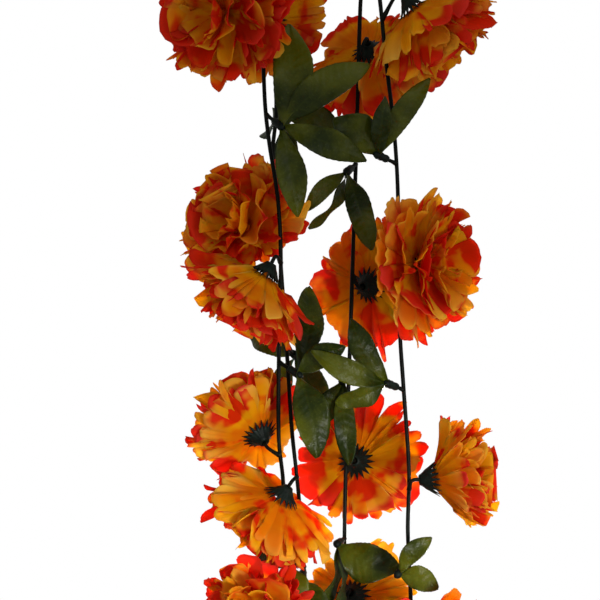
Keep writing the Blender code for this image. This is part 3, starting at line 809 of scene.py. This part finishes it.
# Place between those discs, lobes, folds, their height, slits and how much paler the lobes' tips
# are painted, as painted glow.
LAYERS = (
    (0.0, 26, 5, 4.2, 1.0, 0.8), (0.45, 25, 6, 4.4, 1.0, 0.6), (0.9, 22, 5, 4.6, 1.0, 0.4),
    (1.4, 18, 5, 4.6, 1.0, 0.3), (1.9, 12, 4, 4.2, 0.9, 0.2), (2.45, 8, 3, 3.6, 0.9, 0.2),
    (3.0, 5, 2, 3.0, 0.9, 0.2),
)
# How much higher the rim of the outermost disc of a closed bloom stands, the place between the
# discs where that ends, and how much slimmer the bloom is.
CLOSED_RISE, CLOSED_TO, CLOSED_SLIM = 13.0, 2.4, 0.12
# Blooms with deeper slits than the rest, that lean over from their cups, that were cut smaller or
# larger, that are less closed than their solids, and that were dyed redder (below 0, yellower).
SLITS = {"a2": 1.8, "a3": 1.1, "b3": 1.2, "c3": 1.2, "d3": 1.3}
LEANS = {"d2": (0.16, 0.19, 0.0), "d3": (0.0, 0.0, 0.02)}
TRIMMED = {"a3": 0.88, "b3": 0.95, "c2": 0.96, "d3": 1.04}
OPENED = {"d3": 0.6}
DYED = {
    "a1": 0.05, "a2": 0.05, "a3": -0.02, "a4": 0.02, "b3": -0.03, "c3": 0.03, "c4": -0.22,
    "d1": -0.03, "d3": -0.03, "d4": 0.03,
}


def disc_profile(level, size, share, lift):
    """Radius and height at a share of the way from core to rim, lifted square to the cloth."""
    low = min(int(level), 2)
    start, lean, end = (
        np.array(a) + (np.array(b) - a) * (level - low) for a, b in zip(DISCS[low], DISCS[low + 1])
    )
    share = np.asarray(share, float)
    at = [(1 - share) ** 2 * s + 2 * share * (1 - share) * m + share**2 * e
          for s, m, e in zip(start, lean, end)]
    way = [2 * (1 - share) * (m - s) + 2 * share * (e - m) for s, m, e in zip(start, lean, end)]
    rise = size[2] * CLOSED_RISE * max(0.0, 1 - level / CLOSED_TO)
    width = size[0] * (1 - CLOSED_SLIM * size[2])
    radius = start[0] + (at[0] - start[0]) * width
    height = start[1] + (at[1] - start[1]) * size[1] + rise * share * (2 - share)
    slope_r, slope_h = way[0] * width, way[1] * size[1] + rise * 2 * (1 - share)
    length = np.hypot(slope_r, slope_h)
    return radius - lift * slope_h / length, height + lift * slope_r / length


widest = 2 * disc_profile(LAYERS[0][0], (1.0, 1.0, 0.0), 1.0, 0.0)[0]
print(len(LAYERS), "discs to a bloom, the widest", widest, "mm across on a plain one")


# %% [markdown]
# A disc stops at a flat wall half way to the next bloom and short of the vine, as the soft ones do
# when the garland hangs. So what it would run into decides how far it reaches on each side. It is
# tried in short steps out from the core, and the result is evened out round the disc, because cloth
# gives way in a broad dent.

# %% How far a disc reaches
WALL_GAP, STEM_GAP = 2.3, 3.4
# Blooms and stretches of vine whose middles are further off than this are out of reach.
BLOOM_RANGE, STEM_RANGE = 96, 50
SHARE_STEP = 0.05
SHARES = np.arange(0.25, 1.001, SHARE_STEP)
EVENED = 3


def bloom_walls(name):
    """Flat walls half way to each neighbour, each with its outward direction."""
    walls = []
    for other, centre in centres.items():
        gap = centre - centres[name]
        if other != name and np.linalg.norm(gap) < BLOOM_RANGE:
            walls.append((centres[name] + gap / 2 - unit(gap) * WALL_GAP, unit(gap)))
    return walls


def stems_near(name):
    """Points of the vine that a bloom's cloth could touch."""
    return route[np.linalg.norm(route - centres[name], axis=1) < STEM_RANGE][::2]


def disc_reach(place, level, size, turns, walls, stems):
    """For each turn, the share of the way to the rim that is free of walls and stems."""
    radius, height = disc_profile(level, size, SHARES, 0.0)
    points = place(turns[:, None], radius[None], height[None])
    free = np.ones(points.shape[:2], bool)
    for wall, normal in walls:
        free &= (points - wall) @ normal <= 0
    if len(stems):
        near = np.linalg.norm(points[:, :, None] - stems, axis=3).min(2)
        free &= near > STEM_D / 2 + STEM_GAP
    first = np.where(free.all(1), len(SHARES) - 1, free.argmin(1))
    reach = SHARES[np.maximum(first - 1, 0)] + np.where(free.all(1), SHARE_STEP, 0.0)
    around = np.concatenate([reach[-EVENED:], np.clip(reach, 0, 1), reach[:EVENED]])
    return np.convolve(around, np.ones(2 * EVENED + 1) / (2 * EVENED + 1), "valid")


print("neighbours of each bloom:", {name: len(bloom_walls(name)) for name in BLOOMS})


# %% [markdown]
# The rim of a disc has lobes of uneven width and length with round ends, slits between them, a few
# of them deep, and the fray of the cut. Places round a disc are counted either in turns, from 0 to
# 1, or in lobes.

# %% The cut of the rim
LOBE_COLUMNS = 12
# In shares of the disc's length: the shortest and longest lobe, how much longer a wild one is, how
# much a lobe's corners are rounded off, how far the whole rim is out of round and how uneven it is
# besides, and how rough the fray is.
LOBE_LENGTH, WILD_LENGTH, ROUND_OFF = (0.88, 1.07), 0.10, 0.03
OUT_OF_ROUND, UNEVEN, FRAY = 0.07, 0.05, 0.010
# The least and most that a slit is cut in, that a deep one is cut in further, and how many are.
SLIT, DEEP_SLIT, DEEP_SHARE = (0.07, 0.22), (0.08, 0.26), 0.28


def by_lobe(u, values):
    """A value per lobe round a disc, level over the lobe and blended where two lobes meet."""
    knots = (np.arange(-1, len(values) + 1)[:, None] + np.array((0.3, 0.7))).ravel()
    around = np.concatenate([values[-1:], values, values[:1]])
    return np.interp(u, knots, np.repeat(around, 2))


def waves(turns, count, draw):
    """Uneven waves round a disc: about that many crests, between -1 and 1."""
    slow = draw.uniform(0.5, 0.9) * np.sin(math.tau * (turns + draw.uniform()))
    phase = count * turns + slow + draw.uniform()
    size = 0.7 + 0.3 * np.sin(math.tau * (turns * draw.integers(2, 5) + draw.uniform()))
    return size * np.sin(math.tau * phase)


def rim_line(lobes, slits, wild, u, draw):
    """How far each column of points goes, as a share of the full length. u counts in lobes."""
    side = np.abs(u % 1 * 2 - 1)
    turns = u / lobes
    length = by_lobe(u, draw.uniform(*LOBE_LENGTH, lobes) + WILD_LENGTH * wild)
    length = length - ROUND_OFF * side**2
    length += OUT_OF_ROUND * waves(turns, 2, draw) + UNEVEN * waves(turns, 5, draw)
    deep = draw.uniform(0, 1, lobes + 1) < DEEP_SHARE
    notches = draw.uniform(*SLIT, lobes + 1) + deep * draw.uniform(*DEEP_SLIT, lobes + 1)
    notches[-1] = notches[0]
    length -= slits * notches[np.round(u).astype(int)] * (1 - np.sqrt(1 - side**2.3))
    return length + FRAY * draw.uniform(-1, 1, len(u))


print("the outermost rim is cut into", LAYERS[0][1], "lobes of", LOBE_COLUMNS, "points")


# %% [markdown]
# What the press and handling did is a lift, square to the cloth: folds that fan out from the core
# and wander sideways, smaller ones near the rim, lobes that are bent up or down one by one, and an
# edge that curls. In the code v is the share of the way out to the rim, and a power of it says how
# late a lift sets in.

# %% The press
# Lifts in millimetres: a broad sag, the bend of a lobe, what a wild lobe adds, the curl of the
# edge and how it varies, the lean of the whole disc, and a fine ripple.
SAG, LOBE_BEND, WILD_BEND = 2.0, 3.2, 6
CURL, CURL_VARIES, DISC_TILT, RIPPLE = -1.0, 3.0, 6.0, 0.9
# The smaller folds' height and number against the large ones', and how far folds wander, in turns.
SMALL_HEIGHT, SMALL_COUNT, FOLD_WANDER = 0.35, 2.3, 0.02
# How far the cloth sways sideways at the rim, in lobes.
SWAY = 0.4


def pressed(u, turns, v, layer, wild, reach, draw):
    """How far each point is lifted, in mm, and how far it sways sideways, in turns."""
    _, lobes, folds, fold_mm, _, _ = layer
    fan = turns + FOLD_WANDER * v * waves(turns, 3, draw)
    lift = v**1.8 * fold_mm * waves(fan, folds, draw)
    lift += v**1.3 * SAG * waves(fan, 3, draw)
    lift += v**3.0 * SMALL_HEIGHT * fold_mm * waves(fan, SMALL_COUNT * folds, draw)
    bends = draw.uniform(-LOBE_BEND, LOBE_BEND, lobes) + WILD_BEND * wild
    lift += soft_step(0.6, 1.15, v) * by_lobe(u, bends)
    lift += v**3.5 * (CURL + CURL_VARIES * waves(turns, 4, draw))
    lift += DISC_TILT * v * np.cos(math.tau * (turns - draw.uniform()))
    lift += v**5 * RIPPLE * waves(turns, 1.7 * lobes, draw)
    # Cloth that was stopped short has less room to rise.
    lift = lift * (0.4 + 0.6 * reach)
    return lift, (SWAY * v**2 / lobes) * waves(fan, 1.6 * folds, draw)


print("a fold stands up to", max(layer[3] for layer in LAYERS), "mm high")


# %% [markdown]
# The dye went on unevenly too: some lobes are redder than others. The tips of some lobes, most of
# all on the outer discs, and the edge all round are painted paler: painted glow of light from
# behind shining through the cloth, and painted highlight.

# %% The dye, and the painted glow of the tips
# How much redness differs from lobe to lobe, and in broad waves.
LOBE_DYE, WAVE_DYE = 0.07, 0.04
# How much paler the tips are painted, as painted glow, from the least to the most; below 0 they
# aren't. Then the painted glow of the edge all round.
PAINTED_GLOW_RANGE, PAINTED_GLOW_EDGE = (-0.45, 0.75), 0.3


def dye_and_painted_glow(u, turns, v, lobes, dye, painted_glow_share, draw):
    """How red each point was dyed, and how much paler it is painted as painted glow."""
    blush = by_lobe(u, draw.normal(0, LOBE_DYE, lobes)) + WAVE_DYE * waves(turns, 5, draw) + dye
    lobe_glow = np.maximum(draw.uniform(*PAINTED_GLOW_RANGE, lobes), 0)
    thin = 1.1 * by_lobe(u, lobe_glow) * soft_step(0.45, 1, v)
    thin = (0.3 + 0.7 * painted_glow_share) * (thin + PAINTED_GLOW_EDGE * soft_step(0.82, 1, v))
    return blush * (0.3 + 0.7 * v), thin


print("the tips pale by", *(layer[5] for layer in LAYERS), "from the outermost disc in")


# %% [markdown]
# A disc is one ring of cloth, cut, pressed and dyed. Its lobes are of uneven width, and a few of
# them are wild: longer than the rest and bent far out of line.

# %% One disc
DISC_ROWS = 8
CLOTH_T = 0.25
# How much the lobes' widths vary, how many are wild, and how far those that a wall stops pass it.
WIDTHS_VARY, WILD_SHARE, PAST_WALL = 0.7, 0.06, 1.04
ROWS_CROWD = 1.35
# Where a disc's print is read: round it, out along it, and the jump from one disc to the next.
PRINT_R, PRINT_LENGTH = 24.0, 42.0
PRINT_JUMP = (61.7, 37.1, 13.3)


def disc(place, layer, style, hurdles, number, draw):
    """One disc. style: the bloom's size, slits and dye. hurdles: walls and stems near it."""
    level, lobes, _, _, slits, painted_glow_share = layer
    size, deeper, dye = style
    u = np.arange(lobes * LOBE_COLUMNS) / LOBE_COLUMNS
    turns = (u + draw.uniform()) / lobes
    turns = turns + WIDTHS_VARY / lobes * waves(turns, lobes // 4, draw)
    reach = disc_reach(place, level, size, turns, *hurdles)
    wild = draw.uniform(0, 1, lobes) < WILD_SHARE
    rim = rim_line(lobes, slits * deeper, wild, u, draw)
    rim = reach * np.where(reach < 0.99, np.minimum(rim, PAST_WALL), rim)
    # The rows draw closer together toward the rim, where there is more to shape.
    v = 1 - (1 - np.linspace(0, 1, DISC_ROWS + 1)[:, None]) ** ROWS_CROWD
    lift, sway = pressed(u, turns, v, layer, wild, reach, draw)
    front = place(turns + sway, *disc_profile(level, size, v * rim, lift))

    along = np.broadcast_to(turns * math.tau * PRINT_R, front.shape[:2])
    outward = np.broadcast_to(v * rim * PRINT_LENGTH, along.shape)
    cloth = np.stack([along, outward, 0 * along], -1) + number * np.array(PRINT_JUMP)
    # The dye, and the painted glow that makes the tips paler, go with the cloth as values per point.
    blush, thin = dye_and_painted_glow(u, turns, v, lobes, dye, painted_glow_share, draw)
    values = {"rim": v * rim / np.maximum(reach, 0.01), "blush": blush, "thin": thin}
    values = {key: np.tile(value.ravel(), 2) for key, value in values.items()}
    points, faces = thin_sheet(front, CLOTH_T, ring=True)
    return points, faces, values | {"cloth": np.concatenate([cloth.reshape(-1, 3)] * 2)}


print("a disc has", DISC_ROWS + 1, "rows of points from its core to its rim")


# %% [markdown]
# Each bloom is its discs on the post, back to front. Every bloom draws from its own row of random
# numbers, so that one can be changed without a change in the others.

# %% The blooms
POST = ((2.4, 0.7), (2.4, 4.0), (2.0, 12.0), (1.5, 17.0), (0.9, 18.6))
POST_SIDES = 12


def bloom(name, cup, size, first, draw):
    """A whole bloom. first: the number of its first disc, which sets where its print is read."""
    axis = unit(facings[name] + np.array(LEANS.get(name, (0, 0, 0))))
    size = (size[0] * TRIMMED.get(name, 1.0), size[1], size[2] * OPENED.get(name, 1.0))
    place, hurdles = placer(cup, axis), (bloom_walls(name), stems_near(name))
    style = (size, SLITS.get(name, 1.0), DYED.get(name, 0.0))
    parts = [disc(place, layer, style, hurdles, first + i, draw) for i, layer in enumerate(LAYERS)]
    points, faces = turned(cup, axis, POST, POST_SIDES)
    zero = np.zeros(len(points))
    plain = {"cloth": np.zeros((len(points), 3)), "rim": zero, "blush": zero, "thin": zero}
    return join(parts + [(points, faces, plain)])


total = 0
for number, (name, (_, _, cup, _, size)) in enumerate(BLOOMS.items()):
    draw = np.random.default_rng(100 + number)
    shape = bloom(name, np.array(cup), size, number * len(LAYERS), draw)
    total += sum(len(face) - 2 for face in shape[1])
    new_piece("marigold_" + name, shape, [petal_polyester], "bloom_" + name)
print(len(BLOOMS), "blooms,", total, "triangles")


# %% [markdown]
# ## The leaves
# A leaf is arched along its length, folded along its midrib and waved. One function says where any
# point of it is, so that the same shape serves to find a leaf in its solid and to make a fine one.

# %% The shape of a leaf
LEAF_ARCH, LEAF_FOLD, LEAF_WAVE = 0.10, 0.16, 0.05
LEAF_FACES = (0.12, -1.0, 0.10)


def leaf_point(root, tip, width, roll, share, across, wave):
    """A point of a leaf: share along it and across from -1 to 1."""
    along = unit(tip - root)
    length = np.linalg.norm(tip - root)
    flat = np.array(LEAF_FACES)
    flat = unit(flat - along * (flat @ along))
    face = flat * math.cos(roll) + np.cross(along, flat) * math.sin(roll)
    side = np.cross(face, along)
    reach = across * width / 2
    bow = length * LEAF_ARCH * 4 * share * (1 - share)
    lift = bow + np.abs(reach) * LEAF_FOLD + wave * width
    share, reach, lift = (part[..., None] for part in np.broadcast_arrays(share, reach, lift))
    return root + along * (length * share) + side * reach + face * lift


print("a leaf 50 mm long arches up by", 50 * LEAF_ARCH, "mm")


# %% [markdown]
# In the solids the leaves came to lie clear of each other, some of them shortened and rolled about
# their midribs. So the tip is read back as the furthest point near the line to the tip's design
# place, and of the rolls the one whose edges come nearest to the solid's points is the right one.

# %% Find a leaf in its solid
LEAF_ROLLS = (0, 30, -30, 60, -60, 90)
LINE_RANGE = 1.3
WIDEST_SHARE = 0.48


def find_leaf(points, root, tip, width):
    """The tip, width and roll that a leaf has in its solid, and how far off the find is."""
    want = tip - root
    plan = np.array((want[0], want[2]))
    arms = points - root
    off = np.abs(arms[:, 0] * plan[1] - arms[:, 2] * plan[0]) / np.linalg.norm(plan)
    gone = (arms[:, 0] * plan[0] + arms[:, 2] * plan[1]) / (plan @ plan)
    gone = np.where((off < LINE_RANGE) & (gone < 1.05), gone, 0)
    found = points[gone.argmax()]
    width = width * min(gone.max(), 1.0)
    misses = []
    for roll in LEAF_ROLLS:
        line = (root, found, width, math.radians(roll), WIDEST_SHARE)
        ends = [leaf_point(*line, side, LEAF_WAVE * side) for side in (-1, 1)]
        misses.append(sum(np.linalg.norm(points - end, axis=1).min() for end in ends))
    return found, width, math.radians(LEAF_ROLLS[int(np.argmin(misses))]), min(misses)


print("rolls that are tried, in degrees:", *LEAF_ROLLS)


# %% [markdown]
# The fine leaf has an outline that is a little uneven, as the cut is, a creased midrib, waves along
# its edges, and a bend and a twist of its own.

# %% One leaf
LEAF_ROWS, LEAF_COLUMNS = 30, 13
LEAF_T = 0.35
# Shares of the width: how uneven the cut is, the waves, the twist, the bend and the crease.
CUT_UNEVEN, FINE_WAVE, LEAF_TWIST, LEAF_BEND = 0.012, 0.14, 0.10, 0.5
CREASE, CREASE_W = 0.020, 0.10
# Waves along an edge, the fewest and the most, and how much later they come on the other edge.
WAVE_COUNT, OTHER_EDGE = (1.2, 1.9), 2.6
# Half the width at shares of the length.
OUTLINE = (
    (0.0, 0.10), (0.06, 0.14), (0.15, 0.42), (0.28, 0.78), (0.44, 0.98), (0.60, 1.0),
    (0.74, 0.88), (0.86, 0.62), (0.94, 0.36), (1.0, 0.08),
)


def leaf(root, tip, width, roll, draw):
    """One leaf, with the values that its finish reads."""
    share = np.linspace(0.0, 1.0, LEAF_ROWS)[:, None] ** 0.92
    across = np.linspace(-1, 1, LEAF_COLUMNS)[None]
    outline = np.interp(share, *zip(*OUTLINE))
    for _ in range(2):
        outline[1:-1] = (outline[:-2] + 2 * outline[1:-1] + outline[2:]) / 4
    uneven = np.where(np.arange(LEAF_ROWS) % 2, CUT_UNEVEN, -CUT_UNEVEN)
    uneven = uneven + draw.uniform(-CUT_UNEVEN, CUT_UNEVEN, LEAF_ROWS)
    outline = np.clip(outline * (1 + uneven[:, None] * (share < 0.95)), 0.02, 1.05)
    phase = math.tau * (draw.uniform(*WAVE_COUNT) * share + draw.uniform())
    phase = phase + (across > 0) * OTHER_EDGE
    wave = FINE_WAVE * np.sin(phase) * np.abs(across) ** 1.5
    wave = wave + draw.uniform(-LEAF_TWIST, LEAF_TWIST) * across * share
    crease = -CREASE * np.exp(-((across / CREASE_W) ** 2)) * soft_step(0, 0.2, share)
    bent = draw.uniform(-LEAF_BEND, LEAF_BEND) * np.sin(math.pi * share)
    front = leaf_point(root, tip, width, roll, share, across * outline + bent, wave + crease)
    points, faces = thin_sheet(front[:, ::-1], LEAF_T)
    # The third number only moves the finish's pattern on, so that no two leaves have the same.
    length = np.linalg.norm(tip - root)
    cloth = (across * outline * width / 2, share * length, draw.uniform(0, 900))
    cloth = np.stack(np.broadcast_arrays(*cloth), -1)[:, ::-1].reshape(-1, 3)
    values = {
        "cloth": np.concatenate([cloth] * 2),
        "under": np.repeat((0.0, 1.0), len(cloth)),
        "material": np.zeros(2 * len(cloth)),
    }
    return points, faces, values


print("a leaf has", LEAF_ROWS, "by", LEAF_COLUMNS, "points on each side")


# %% [markdown]
# A spray is a moulded ferrule that plugs onto its peg, with two to four leaves that grow from it.
# The ferrule has the cups' finish, so a value per point says which of the two finishes is meant.

# %% The leaf sprays
LEAF_ROOT = 2.8
FERRULE = (
    (1.7, -4.4), (2.1, -4.5), (2.5, -3.2), (2.3, -1.0), (2.7, 0.6), (2.5, 2.4), (2.8, 3.2),
    (2.1, 4.8), (1.2, 6.0),
)
FERRULE_SIDES = 14

draw = np.random.default_rng(7)
for name, (_, _, hub, leaves) in SPRAYS.items():
    hub, axis = np.array(hub), facings["spray_" + name]
    solid = frame["nodes"]["leaf_spray_" + name].data
    points = np.array([vertex.co for vertex in solid.vertices]) / MM
    root = hub + axis * LEAF_ROOT
    shapes, misses = [], []
    for tip, width in leaves:
        tip, width, roll, miss = find_leaf(points, root, np.array(tip), width)
        misses.append(float(round(miss, 1)))
        shapes.append(leaf(root, tip, width, roll, draw))
    ferrule = turned(hub, axis, FERRULE, FERRULE_SIDES)
    count = len(ferrule[0])
    plain = {"cloth": np.zeros((count, 3)), "under": np.zeros(count), "material": np.ones(count)}
    shapes.append((*ferrule, plain))
    finishes = [leaf_polyester, cup_polyethylene]
    new_piece("leaves_" + name, join(shapes), finishes, "leaf_spray_" + name)
    print("spray", name, "has its leaves where the solid's are, to", misses, "mm")
